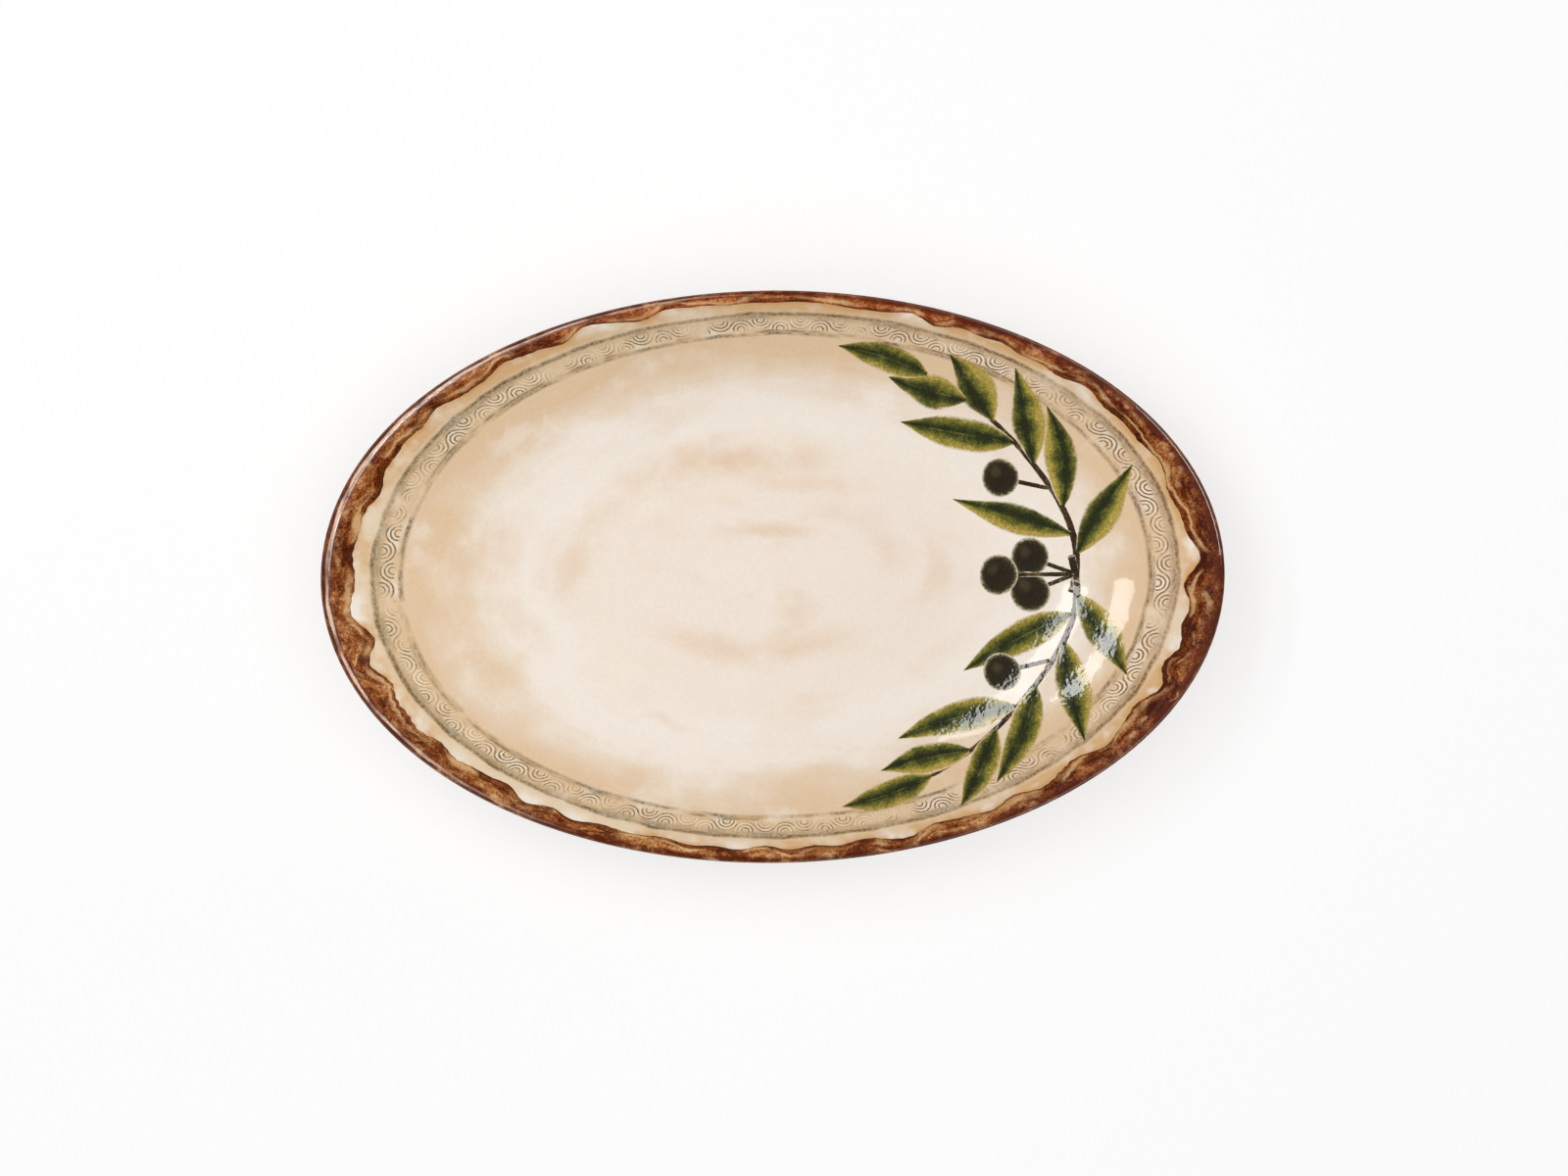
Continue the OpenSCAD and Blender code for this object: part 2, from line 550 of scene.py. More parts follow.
@dataclass(frozen=True)
class CreamGlaze:
    """Glossy clear glaze over brushed slip on the face: cream in the well, washed with tan towards the
    wall, with a border of grey-brown lines and a running wave between them.

    Clear glaze over matt colour gives soft, grainy colour under one sharp reflection.
    """

    oval: Oval
    # Colours of the wash by distance from the centre, as a share of the oval
    wash: tuple[tuple[float, str], ...] = (
        (0.0, "efe3d7"),
        (0.30, "eee1d4"),
        (0.42, "eee1d3"),
        (0.55, "f0e6db"),
        (0.66, "f0e5d9"),
        (0.75, "e6d1b8"),
        (0.82, "e1c4a1"),
        (0.95, "e6ccaa"),
    )
    # The wash is heavier on some sides than on others: heading, how far it reaches round, where it
    # begins across and how far it moves the wash inwards
    lobes: tuple[tuple[Vec3, float, float, float], ...] = (
        ((-0.80, 0.60, 0.0), 0.78, 0.62, 0.045),
        ((0.05, 1.0, 0.0), 0.50, 0.40, -0.030),
        ((-0.40, -0.92, 0.0), 0.50, 0.55, 0.015),
        ((-0.26, -0.97, 0.0), 0.50, 0.68, -0.040),
        ((1.0, 0.0, 0.0), 0.30, 0.40, -0.015),
    )
    lobe_rise: float = 0.16
    # Broad strokes left on the floor: angle of the middle and half length in degrees, distance from
    # the centre and half width as shares of the oval, and strength
    strokes: tuple[tuple[float, float, float, float, float], ...] = (
        (104.0, 40.0, 0.44, 0.10, 0.60),
        (78.0, 30.0, 0.36, 0.06, 0.30),
        (96.0, 50.0, 0.17, 0.05, 0.45),
        (172.0, 24.0, 0.46, 0.06, 0.40),
        (262.0, 64.0, 0.28, 0.07, 0.45),
        (36.0, 44.0, 0.27, 0.08, 0.25),
        (246.0, 9.0, 0.565, 0.03, 0.45),
    )
    # The running wave: how many, the border's length as a share of the girth, the border's width, the
    # step between arcs and how many steps the largest arc has
    waves: int = 52
    border_girth: float = 0.87
    band: float = 6.6 * MM
    arc_step: float = 1.0 * MM
    arcs: float = 3.0
    roughness: float = 0.05
    ior: float = 1.4
    peel: Peel = field(default_factory=Peel)

    def material(self) -> bpy.types.Material:
        """Builds the finish.

        Returns:
            The material.
        """
        g = Graph("brushed_cream_glaze")
        place = g.add(OBJECT)
        return g.close(self.colour(g, place), self.roughness, self.peel.normal(g, place), self.ior)

    def colour(self, g: Graph, place: Socket) -> Socket:
        """Draws wash, border and grain.

        Args:
            g: the material, of a piece with the chart UV map and the from_brown and hollow attributes.
            place: Object coordinates.

        Returns:
            The colour.
        """
        plan = g.add(MAPPING, [place, self.oval.section.to_shares])
        colour = self._border(g, place, plan, self._wash(g, place, plan))
        return g.grained(colour, g.add(NOISE, [place, 1 / (0.9 * MM), 3.0, 0.7]), 0.965, 1.03)

    def _wash(self, g: Graph, place: Socket, plan: Socket) -> Socket:
        """Cream ground with the tan wash, brushed round the oval and blotted like watercolour.

        The brush marks are noise on a cylinder: long round the oval and short across it.

        Args:
            g: the material.
            place: Object coordinates.
            plan: place as a share of the oval.

        Returns:
            The colour.
        """
        rho, round_it = g.add(LENGTH, [plan]), g.add(UNIT, [plan])
        climb = g.add(COMBINE, [0.0, 0.0, rho])
        brushed = []
        for reach, rise in ((1.5, 6.0), (1.3, 7.0), (9.0, 55.0)):
            where = g.add(SUM, [g.add(SCALED, [round_it, reach]), g.add(SCALED, [climb, rise])])
            brushed.append(g.add(NOISE, [where, 1.0, 4.0, 0.55]))
        broad, narrow, hair = brushed
        cloud = g.add(NOISE, [place, 1 / (38 * MM), 4.0, 0.6])
        blot = g.add(NOISE, [place, 1 / (15 * MM), 4.0, 0.55])
        moved = rho
        for heading, low, start, inwards in self.lobes:
            reach = g.add(SOFT, [g.add(DOT, [round_it, heading]), low, 1.0, 0.0, inwards])
            begun = g.add(RANGE, [rho, start, start + self.lobe_rise, 0.0, 1.0])
            moved = g.add(TIMES_PLUS, [reach, begun, moved])
        moved = g.swayed(moved, (broad, 0.055), (cloud, 0.04), (blot, 0.03), (hair, 0.01))
        ground = g.add(RAMP, [moved], self.wash)

        # Dabs of the brush, the broad strokes and the spots that the wash left bare
        wide = g.add(MAPPING, [place, (1 / (30 * MM), 1 / (18 * MM), 0.0)])
        smear = g.add(NOISE, [wide, 1.0, 5.0, 0.55, 0.6])
        dabs = g.add(SOFT, [narrow, 0.44, 0.70, 0.0, 0.32])
        dabs = g.thinned(dabs, g.add(SOFT, [smear, 0.40, 0.64, 0.0, 1.0]))
        bent = g.swayed(rho, (cloud, 0.03), (smear, 0.03))
        dry = g.add(RANGE, [blot, 0.34, 0.58, 0.25, 1.0])
        for middle, half, out, wide, strength in self.strokes:
            heading = (math.cos(math.radians(middle)), math.sin(math.radians(middle)), 0.0)
            least = math.cos(math.radians(half))
            long = g.add(SOFT, [g.add(DOT, [round_it, heading]), least, 1.0, 0.0, strength])
            mark = g.add(SOFT, [g.apart(bent, out), wide, 0.0, 0.0, 1.0])
            dabs = g.add(MORE, [dabs, g.thinned(mark, long, dry)])
        ground = g.add(OVER, [dabs, ground, "dcb88f"])
        return g.add(OVER, [g.add(SOFT, [blot, 0.46, 0.30, 0.0, 0.40]), ground, "f2e7d9"])

    def _border(self, g: Graph, place: Socket, plan: Socket, colour: Socket) -> Socket:
        """Two lines and a running wave of nested arcs, worn thin in places.

        The chart holds the share of the way round and the place across the border, 0 at its outer
        line and 1 at its inner one. Each wave is two half bays; in each, arcs stand a step apart
        round a centre on the far side, so that the largest arcs of neighbours join in one line.

        Args:
            g: the material.
            place: Object coordinates.
            plan: place as a share of the oval.
            colour: the ground.

        Returns:
            The colour with the border over it.
        """
        chart = g.add(SEPARATE, [g.add(UV_MAP, uv_map="chart")])
        across = chart.node.outputs[1]
        brown, hollow = (g.add(ATTRIBUTE, attribute_name=name) for name in ("from_brown", "hollow"))
        fade = g.add(NOISE, [place, 1 / (15 * MM), 3.0, 0.65])
        wear = g.add(NOISE, [g.add(SUM, [place, (0.31, 0.17, 0.0)]), 1 / (9 * MM), 3.0, 0.6])
        rough = g.add(NOISE, [place, 1 / (0.8 * MM), 2.0, 0.7])

        # Tan outside the border, nearly bare in the hollows of the brown glaze and in places stained by it
        outside = g.add(SOFT, [across, 0.0, -0.3, 0.0, 0.85])
        lean = g.add(RANGE, [g.add(DOT, [plan, (-0.75, -0.65, 0.0)]), 0.2, 0.9, 0.10, -0.06])
        warm = g.add(RANGE, [g.add(PLUS, [lean, fade]), 0.47, 0.64, 0.0, 1.0])
        colour = g.add(OVER, [outside, colour, g.add(OVER, [warm, "e7d3b6", "d9af7d"])])
        bare = g.add(SOFT, [hollow, -0.2 * MM, 0.9 * MM, 0.0, 1.0])
        beside = g.add(SOFT, [brown, 4.0 * MM, 1.0 * MM, 0.0, 1.0])
        bare = g.thinned(bare, outside, beside, g.add(MINUS, [1.0, warm]))
        colour = g.add(OVER, [bare, colour, "f7efe4"])
        glow = g.thinned(g.add(SOFT, [brown, 0.1 * MM, 1.5 * MM, 0.6, 0.0]), warm)
        colour = g.add(OVER, [glow, colour, "cf9c62"])

        # The border's own ground, darker or rubbed pale
        centred = g.add(MINUS, [across, 0.5])
        near = g.add(SIZE, [centred])
        inside = g.add(SOFT, [near, 0.42, 0.62, 1.0, 0.0])
        weaker = g.add(DOT, [plan, (0.8, 0.6, 0.0)])
        for noise, low, high, strength, weakest, tint in (
            (fade, 0.36, 0.58, 0.82, 0.35, "d3b388"),
            (wear, 0.52, 0.64, 0.75, 0.60, "eee2ce"),
        ):
            most = g.add(RANGE, [weaker, -0.5, 0.8, strength, weakest])
            share = g.thinned(g.add(RANGE, [noise, low, high, 0.0, most]), inside)
            colour = g.add(OVER, [share, colour, tint])

        # Lines: place across, half width of the core and of the soft edge, least and greatest strength
        waved = g.swayed(across, (fade, 0.03), (wear, 0.05))
        drawn: Value = 0.0
        for noise, middle, core, edge, least, most in (
            (fade, 0.0, 0.02, 0.15, 0.50, 1.05),
            (wear, 0.13, 0.02, 0.26, 0.05, 0.75),
            (wear, 1.0, 0.01, 0.15, 0.0, 0.95),
            (fade, 0.87, 0.01, 0.10, -0.5, 0.85),
        ):
            stroke = g.add(SOFT, [g.apart(waved, middle), core, edge, 1.0, 0.0])
            drawn = g.add(MORE, [drawn, g.thinned(stroke, [noise, 0.36, 0.62, least, most])])

        # The running wave, in millimetres
        pitch, step = self.oval.girth * self.border_girth / self.waves / MM, self.arc_step / MM
        reach = self.arcs * step
        sink = math.sqrt(max(reach**2 - (pitch / 4) ** 2, 0.0))
        turn = g.add(TIMES, [chart, float(self.waves)])
        bay = g.add(TIMES, [g.add(MINUS, [g.add(MODULO, [turn, 0.5]), 0.25]), pitch])
        side = g.add(TIMES_PLUS, [g.add(ABOVE, [g.add(FRACTION, [turn]), 0.5]), 2.0, -1.0])
        rise = g.add(TIMES_PLUS, [g.add(TIMES, [centred, self.band / MM]), side, -sink])
        far = g.swayed(g.add(LENGTH, [g.add(COMBINE, [bay, rise, 0.0])]), (rough, 0.1))
        ring = g.apart(g.add(MODULO, [g.add(PLUS, [far, step / 2]), step]), step / 2)
        keep = g.thinned(
            g.add(RANGE, [far, reach + 0.25, reach + 0.45, 1.0, 0.0]),
            [rise, 0.6, 0.0, 0.0, 1.0],
            [far, 0.35, 0.6, 0.0, 1.0],
            [near, 0.52, 0.44, 0.0, 1.0],
        )
        pale, dark = (
            g.thinned(g.add(SOFT, [ring, low, high, 0.0, 1.0]), keep, [noise, 0.36, 0.60, least, most])
            for low, high, noise, least, most in ((0.22, 0.46, fade, -0.3, 0.85), (0.30, 0.06, wear, -0.25, 1.5))
        )
        colour = g.add(OVER, [pale, colour, "f3e9d8"])
        drawn = g.add(MORE, [drawn, dark])
        drawn = g.add(TIMES, [drawn, g.add(RANGE, [rough, *MOST, 0.50, 1.30])], use_clamp=True)
        browner = g.add(RANGE, [g.add(SEPARATE, [plan]), -0.3, 0.8, 0.0, 1.0])
        return g.add(OVER, [drawn, colour, g.add(OVER, [browner, "7d6a49", "8c6843"])])


@dataclass(frozen=True)
class BrownGlaze:
    """Iron-brown glaze brushed over the lip: grainy, streaked along the rim, outlined dark where it ends.

    The iron glaze is drawn dark along its edge and over the lip, and breaks to tan veins where it is thin.
    Its iron gives it a higher refractive index and a brighter reflection than clear glaze. The real
    grain is finer than it is drawn here, so that it shows.
    """

    oval: Oval
    streak: float = 6.0 * MM
    streak_width: float = 1.3 * MM
    # Colours from where the glaze lies thick to where it is thin
    tones: tuple[tuple[float, str], ...] = (
        (0.0, "3f1000"),
        (0.18, "5b2103"),
        (0.36, "773a10"),
        (0.50, "8c4b1e"),
        (0.64, "9c5d2c"),
        (0.83, "b67f4a"),
        (1.0, "cfa371"),
    )
    # Darker at the ends and paler between; the strong dark at the +X end is painted shade on the side turned
    # away from the lamps: heading, where it begins and ends, and shift
    tone_and_shade_by_side: tuple[tuple[Vec3, float, float, float], ...] = (
        ((-1.0, 0.0, 0.0), 0.6, 0.9, -0.02),
        ((1.0, 0.0, 0.0), 0.5, 0.97, -0.085),
        ((-0.6, -0.8, 0.0), 0.6, 0.95, 0.03),
    )
    roughness: float = 0.10
    dull_roughness: float = 0.42
    dull_level: float = 0.1
    ior: float = 1.75
    peel: Peel = field(default_factory=lambda: Peel(3.2 * MM, 0.04 * MM, 1.1 * MM, 0.3))

    def material(self) -> bpy.types.Material:
        """Builds the finish.

        Returns:
            The material.
        """
        g = Graph("mottled_brown_glaze")
        s = self.oval.section
        place = g.add(OBJECT)
        plan = g.add(MAPPING, [place, s.to_shares])
        edge, crest = (g.add(ATTRIBUTE, attribute_name=name) for name in ("from_edge", "past_crest"))
        bent = g.add(SCALED, [g.add(UNIT, [plan]), s.half_length / self.streak])
        deep = g.add(TIMES, [edge, 1 / self.streak_width])
        where = g.add(SUM, [bent, g.add(COMBINE, [0.0, 0.0, deep])])
        streaks = g.add(NOISE, [where, 1.0, 3.0, 0.55, 0.2])
        mottle = g.add(NOISE, [place, 1 / (4.5 * MM), 4.0, 0.6])
        grain = g.add(NOISE, [place, 1 / (0.55 * MM), 2.0, 0.7])
        drift = g.add(NOISE, [place, 1 / (10 * MM), 2.0])
        slow = g.add(NOISE, [g.add(SCALED, [where, 0.35]), 1.0, 2.0])
        mixed = g.add(TIMES, [streaks, 0.44])
        for noise, share in ((mottle, 0.21), (grain, 0.50), (slow, 0.35), (drift, 0.25)):
            mixed = g.add(TIMES_PLUS, [noise, share, mixed])
        # Darker or paler by side; at the +X end this is painted shade
        for heading, low, high, shift in self.tone_and_shade_by_side:
            value = g.add(RANGE, [g.add(DOT, [plan, heading]), low, high, 0.0, shift])
            mixed = g.add(PLUS, [mixed, value])
        colour = g.add(RAMP, [g.add(RANGE, [mixed, 0.73, 1.04, 0.0, 1.0])], self.tones)

        # Redder towards one side
        red = g.add(RANGE, [g.add(DOT, [plan, (0.0, 1.0, 0.0)]), 0.5, 0.9, 0.0, 1.0])
        colour = g.add(SHADE, [red, colour, "ffddcb"])

        # Tan veins that follow the edge at a distance, broken by the mottle
        swung = g.swayed(edge, (slow, 1.2 * MM))
        for middle, core, soft, noise, low, high, strength in (
            (1.6, 0.1, 0.9, drift, 0.44, 0.58, 0.85),
            (3.9, 0.1, 0.8, mottle, 0.50, 0.64, 0.70),
        ):
            vein = g.add(SOFT, [g.apart(swung, middle * MM), core * MM, soft * MM, strength, 0.0])
            vein = g.thinned(vein, [noise, low, high, 0.0, 1.0], [grain, 0.15, 0.5, 0.0, 1.0])
            colour = g.add(OVER, [vein, colour, "d8ae7b"])

        # Thin dark lines where two strokes meet
        seam = g.add(SOFT, [g.apart(slow, 0.5), 0.006, 0.035, 0.7, 0.0])
        colour = g.add(OVER, [g.thinned(seam, [drift, 0.54, 0.42, 0.0, 1.0]), colour, "3c1503"])

        # Dark over the lip, and thin and golden on its outer edge
        for middle, core, soft, strength, noise, low, high, tint in (
            (0.7, 0.3, 1.0, 0.80, mottle, 0.70, 0.45, "5a1d00"),
            (1.8, 0.4, 1.2, 0.85, mottle, 0.66, 0.42, "4e1800"),
            (2.8, 0.4, 0.9, 0.80, drift, 0.34, 0.58, "96581f"),
        ):
            lip = g.add(SOFT, [g.apart(crest, middle * MM), core * MM, soft * MM, strength, 0.0])
            colour = g.add(OVER, [g.thinned(lip, [noise, low, high, 0.15, 1.0]), colour, tint])

        # Along one end, a painted highlight: a pale pink line on the lip's shoulder
        shoulder = g.add(OPEN, [slow, *MOST, 0.55 * MM, 1.05 * MM])
        painted_highlight = g.thinned(
            g.add(SOFT, [g.apart(crest, shoulder), 0.16 * MM, 0.46 * MM, 1.0, 0.0]),
            [g.add(DOT, [plan, (-0.9, 0.2, 0.0)]), 0.2, 0.7, 0.0, 1.0],
            [drift, 0.36, 0.52, 0.25, 1.0],
            [grain, 0.2, 0.5, 0.4, 1.0],
        )
        colour = g.add(OVER, [painted_highlight, colour, "ecc9b0"])

        # The dark line where the coat ends
        line = g.add(SOFT, [g.swayed(edge, (mottle, 0.3 * MM)), 0.25 * MM, 1.05 * MM, 0.95, 0.0])
        colour = g.add(OVER, [g.thinned(line, [drift, 0.40, 0.56, 1.0, 0.1]), colour, "4c2408"])

        # The wiped lip is glossier than the brushed glaze on either side of it, most of all at the
        # dish's two ends, and the edge below it is dry
        ends = g.add(RANGE, [g.add(SIZE, [g.add(SEPARATE, [plan])]), 0.3, 0.75, 0.15, 0.5])
        off = g.apart(crest, 1.15 * MM)
        dry = g.add(RANGE, [g.apart(crest, 2.9 * MM), 0.6 * MM, 1.0 * MM, 0.0, self.dull_level])
        rough, level = (
            g.add(RANGE, [off, 0.8 * MM, 1.2 * MM, wiped, dull])
            for wiped, dull in ((self.roughness, self.dull_roughness), (ends, dry))
        )
        level = g.add(LESS, [level, g.add(RANGE, [crest, 1.55 * MM, 1.95 * MM, 0.5, dry])])
        return g.close(colour, rough, self.peel.normal(g, place), self.ior, level)


@dataclass(frozen=True)
class BuffGlaze:
    """Plain buff glaze, dipped, on the underside: even, with iron specks that come through from the clay."""

    roughness: float = 0.18
    ior: float = 1.5
    speck: float = 1.4 * MM
    peel: Peel = field(default_factory=lambda: Peel(9.0 * MM, 0.05 * MM))

    def material(self) -> bpy.types.Material:
        """Builds the finish.

        Returns:
            The material.
        """
        g = Graph("dipped_buff_glaze")
        place = g.add(OBJECT)
        cloud = g.add(NOISE, [place, 1 / (26 * MM), 4.0, 0.6])
        colour = g.add(RAMP, [cloud], ((0.3, "dcc19b"), (0.5, "e3cdab"), (0.72, "ead9bf")))
        speck = g.add(SOFT, [g.add(NOISE, [place, 1 / self.speck, 1.0]), 0.70, 0.76, 0.0, 0.6])
        colour = g.add(OVER, [speck, colour, "8a5a34"])
        return g.close(colour, self.roughness, self.peel.normal(g, place), self.ior)


@dataclass(frozen=True)
class BareClay:
    """Fired stoneware clay with fine grog, wiped clean of glaze: matt, sandy and slightly toasted."""

    roughness: float = 0.85
    ior: float = 1.5
    grog: float = 0.8 * MM
    grog_depth: float = 0.12 * MM

    def material(self) -> bpy.types.Material:
        """Builds the finish.

        Returns:
            The material.
        """
        g = Graph("bare_fired_clay")
        place = g.add(OBJECT)
        cloud = g.add(NOISE, [place, 1 / (14 * MM), 4.0, 0.65])
        colour = g.add(RAMP, [cloud], ((0.3, "b58a62"), (0.5, "c29a71"), (0.72, "cfa981")))
        grit = g.add(NOISE, [place, 1 / self.grog, 4.0, 0.75])
        normal = g.add(BUMP, [1.0, self.grog_depth, grit])
        return g.close(g.grained(colour, grit, 0.8, 1.12), self.roughness, normal, self.ior)


class Motif(Enum):
    """What a stroke of underglaze paint stands for."""

    LEAF = "leaf"
    BERRY = "berry"
    STEM = "stem"


@dataclass(frozen=True)
class Brush:
    """A stroke's material, its UV map, the place across it from -1 to 1, and a fine and a broad noise."""

    g: Graph
    chart: Socket
    across: Socket
    grain: Socket
    cloud: Socket


@dataclass(frozen=True)
class Underglaze:
    """Grainy underglaze colour painted on the slip and covered by the same clear glaze.

    A stroke's edge breaks up into grains over the slip, whose own colour shows beyond it. The thick
    colour stands up a little through the glaze and its flux makes that shine more, so a reflection
    breaks into sparkles over a stroke.
    """

    motif: Motif
    slip: CreamGlaze
    peel: Peel = field(default_factory=lambda: Peel(1.8 * MM, 0.05 * MM, 0.8 * MM, 0.3))

    def material(self) -> bpy.types.Material:
        """Builds the finish.

        Returns:
            The material.
        """
        g = Graph(f"underglaze_{self.motif.value}")
        place, chart = g.add(OBJECT), g.add(UV_MAP, uv_map="stroke")
        across = g.add(TIMES_PLUS, [g.add(SEPARATE, [chart]).node.outputs[1], 2.0, -1.0])
        grain = g.add(NOISE, [place, 1 / (0.7 * MM), 3.0, 0.75])
        cloud = g.add(NOISE, [place, 1 / (5 * MM), 3.0, 0.6])
        painters = {Motif.LEAF: self._leaf, Motif.BERRY: self._berry, Motif.STEM: self._stem}
        out, paint = painters[self.motif](Brush(g, chart, across, grain, cloud))
        paint = g.grained(paint, grain, 0.62, 1.35)
        cover = g.add(SOFT, [out, 0.80, 1.06, 1.0, 0.0])
        colour = g.add(OVER, [cover, self.slip.colour(g, place), paint])
        level = g.add(RANGE, [cover, 0.0, 1.0, 0.5, 0.9])
        normal = self.peel.normal(g, place, g.add(RANGE, [cover, 0.0, 1.0, 0.3, 1.0]))
        return g.close(colour, self.slip.roughness, normal, self.slip.ior, level)

    def _leaf(self, b: Brush) -> tuple[Socket, Socket]:
        """Dark green core that leans to one side by the leaf's tone, dull green blade and yellow edge.

        Args:
            b: the stroke.

        Returns:
            Distance from the midrib, 1 at the film's edge, and the colour.
        """
        off = b.g.add(SIZE, [b.across])
        leaning = b.g.add(TIMES_PLUS, [b.g.add(ATTRIBUTE, attribute_name="tone"), 0.34, b.across])
        core = b.g.swayed(b.g.add(SIZE, [leaning]), (b.grain, 0.10), (b.cloud, 0.22))
        stops = ((0.05, "26290f"), (0.27, "3b4018"), (0.50, "626124"), (0.72, "8b7f32"), (0.95, "b09a48"))
        rib = b.g.thinned(b.g.add(SOFT, [off, 0.02, 0.09, 0.35, 0.0]), [b.cloud, 0.42, 0.6, 0.0, 1.0])
        colour = b.g.add(OVER, [rib, b.g.add(RAMP, [core], stops), "8a8a44"])
        return b.g.swayed(off, (b.grain, 0.05), (b.cloud, 0.04)), colour

    def _berry(self, b: Brush) -> tuple[Socket, Socket]:
        """Near-black disc with a brown-green edge and one dull sheen.

        Args:
            b: the stroke.

        Returns:
            Distance from the middle, 1 at the film's edge, and the colour.
        """
        off = b.g.add(TIMES, [b.g.add(DISTANCE, [b.chart, (0.5, 0.5, 0.0)]), 1.9])
        out = b.g.swayed(off, (b.grain, 0.06), (b.cloud, 0.02))
        stops = ((0.0, "251d13"), (0.70, "2b2314"), (0.84, "4d431f"), (0.97, "8c7c3c"))
        glow = b.g.add(DISTANCE, [b.chart, (0.36, 0.64, 0.0)])
        glow = b.g.add(SOFT, [b.g.swayed(glow, (b.cloud, 0.07), (b.grain, 0.03)), 0.02, 0.20, 0.42, 0.0])
        return out, b.g.add(OVER, [glow, b.g.add(RAMP, [out], stops), "5d4c34"])

    def _stem(self, b: Brush) -> tuple[Socket, Socket]:
        """Dark brown stroke, broken by lighter brown.

        Args:
            b: the stroke.

        Returns:
            Distance from the middle, 1 at the film's edge, and the colour.
        """
        out = b.g.swayed(b.g.add(SIZE, [b.across]), (b.grain, 0.12), (b.cloud, 0.12))
        mixed = b.g.add(TIMES_PLUS, [b.grain, 0.5, b.cloud])
        return out, b.g.add(RAMP, [mixed], ((0.5, "241808"), (0.75, "3d2d14"), (1.0, "6f5c34")))


# --- pieces ---


@dataclass
class RimCoat:
    """Brown glaze over the lip, with a wavy edge on the face and a nearly level one on the back."""

    oval: Oval
    columns: int = 1500
    # Rows on the face, over the lip and down the back; where the lip's rows lie past its crest, and the
    # least length of those on the face
    rows: tuple[int, int, int] = (11, 24, 11)
    lip_rows: tuple[float, float] = (-0.5 * MM, 2.6 * MM)
    face_least: float = 0.5 * MM
    under_rows: int = 10
    width: float = 4.6 * MM
    ends_wider: float = 0.95 * MM
    side_wider: float = 0.35 * MM
    least: float = 1.5 * MM
    # The edge on the back: how far down, how far it sways, and seed and numbers of waves of that
    drop: float = 6.0 * MM
    drop_sway: float = 0.5 * MM
    drop_waves: tuple[int, tuple[int, int]] = (13, (4, 26))
    # How far the coat stands proud, how far from its edge it does, and how deep its edge is sunk
    body: float = 0.05 * MM
    rise: float = 0.7 * MM
    sunk: float = 0.02 * MM
    # The fine ripple: height, seed, numbers of waves round the oval, how many, and least wavelength across
    wave: float = 0.009 * MM
    fine: tuple[int, tuple[int, int], int] = (14, (90, 260), 24)
    fine_spacing: float = 2.6 * MM
    # The strip of the lip that was wiped flatter: its place past the crest, how far that swings
    # towards either end of the dish, its half width and its depth
    wiped: tuple[float, float, float, float] = (1.185 * MM, 0.465 * MM, 0.62 * MM, 0.103 * MM)
    # Seed, numbers of waves round the oval and height of each ripple in the edge
    wander: tuple[tuple[int, tuple[int, int], float], ...] = (
        (11, (12, 30), 1.0 * MM),
        (12, (28, 54), 0.85 * MM),
        (13, (110, 240), 0.10 * MM),
    )
    wander_count: int = 24

    def face_edge(self, t: np.ndarray) -> np.ndarray:
        """Run along the section where the brown glaze begins.

        Its width, measured across the dish, is greater at the ends than at the sides and greater on
        the -Y side than on the other; three ripples, each finer and lower, make the edge wander.

        Args:
            t: angles.

        Returns:
            The run at each angle.
        """
        width = self.width + self.ends_wider * np.cos(2 * t) - self.side_wider * np.sin(t)
        width = np.maximum(width - self.hollow(t), self.least)
        return self.oval.line.run_on_face(self.oval.section.half_width - width)

    def hollow(self, t: np.ndarray) -> np.ndarray:
        """How far the edge on the face lies outside its own trend, across the dish; less at the sides."""
        share, count = self.oval.share(t), self.wander_count
        total = sum(high * ripple(share, seed, waves, count) for seed, waves, high in self.wander)
        return -total * (0.62 - 0.12 * np.sin(t) + 0.38 * np.cos(t) ** 2)

    def back_edge(self, t: np.ndarray) -> np.ndarray:
        """Run along the section where the brown glaze ends, on the back."""
        drop = self.drop + self.drop_sway * ripple(self.oval.share(t), *self.drop_waves)
        return self.oval.line.run_on_back(self.oval.section.height - drop, axis=1)

    def build(self) -> bpy.types.Object:
        """Lays the coat as a closed shell that rises from the cream glaze at its edges.

        Rows run from the edge on the face over the lip, where they are closest, to the edge on the
        back, each share k of the way between two of these stations. The surface stands
        proud of the section by a body that grows from each edge, and by a fine ripple; a shallow bell
        taken off the lip leaves it flatter there, on its inner shoulder at one end of the dish and on
        its outer shoulder at the other.

        Returns:
            The piece.
        """
        line = self.oval.line
        t = self.oval.angles(self.columns)
        start, end = self.face_edge(t), self.back_edge(t)
        near, far = (line.crest + place for place in self.lip_rows)
        near = np.maximum(near, start + self.face_least)
        stations = (start, near, np.full_like(start, far), end)
        run = [
            low + np.linspace(0.0, 1.0, count, endpoint=False)[:, None] * (high - low)
            for low, high, count in zip(stations, stations[1:], self.rows)
        ]
        run = np.concatenate([*run, end[None]])
        grown = np.clip(np.minimum(run - start, end - run) / self.rise, 0.0, 1.0)
        grown = grown * grown * (3.0 - 2.0 * grown)
        fine = ripple(self.oval.share(t), *self.fine, run, self.fine_spacing)
        at, swing, half, deep = self.wiped
        at = line.crest + at + swing * np.tanh(3.0 * np.cos(t))
        flat = deep * np.exp(-(((run - at) / half) ** 2))
        proud = (self.body + self.wave * fine - flat) * grown - self.sunk * (1.0 - grown)
        under = start + np.linspace(1.0, 0.0, self.under_rows)[:, None] * (end - start)
        both = np.concatenate([run, under])
        marks = {"from_edge": [(both - start)[:, :-1]], "past_crest": [(both - line.crest)[:, :-1]]}
        layers = ((run, -proud), (under, self.oval.section.glaze))
        return self.oval.shell("rim_coat", t, layers, marks=marks)


